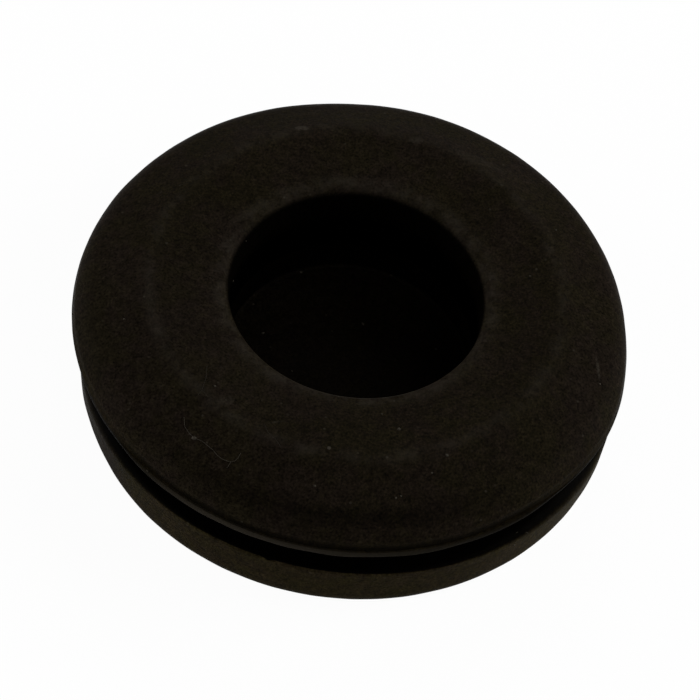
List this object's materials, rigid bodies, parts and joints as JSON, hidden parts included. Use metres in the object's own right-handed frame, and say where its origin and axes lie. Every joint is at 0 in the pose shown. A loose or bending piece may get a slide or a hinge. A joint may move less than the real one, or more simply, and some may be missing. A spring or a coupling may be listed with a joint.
{
  "type": "blind rubber grommet",
  "caption": "Round rubber grommet with a groove for a panel's edge, a dished front face and a centre hole closed by a thin floor.",
  "frame": {"origin": "middle of the flat back face, which the grommet rests on", "axes": "+Z along the grommet's axis, out of the hole's mouth; X and Y lie in the back face"},
  "size_m": [0.027, 0.027, 0.0077],
  "materials": {
    "rubber": "matt moulded black rubber with a faint brown cast and a little dust"
  },
  "bodies": {
    "root": {"grommet": "rubber"}
  },
  "joints": []
}
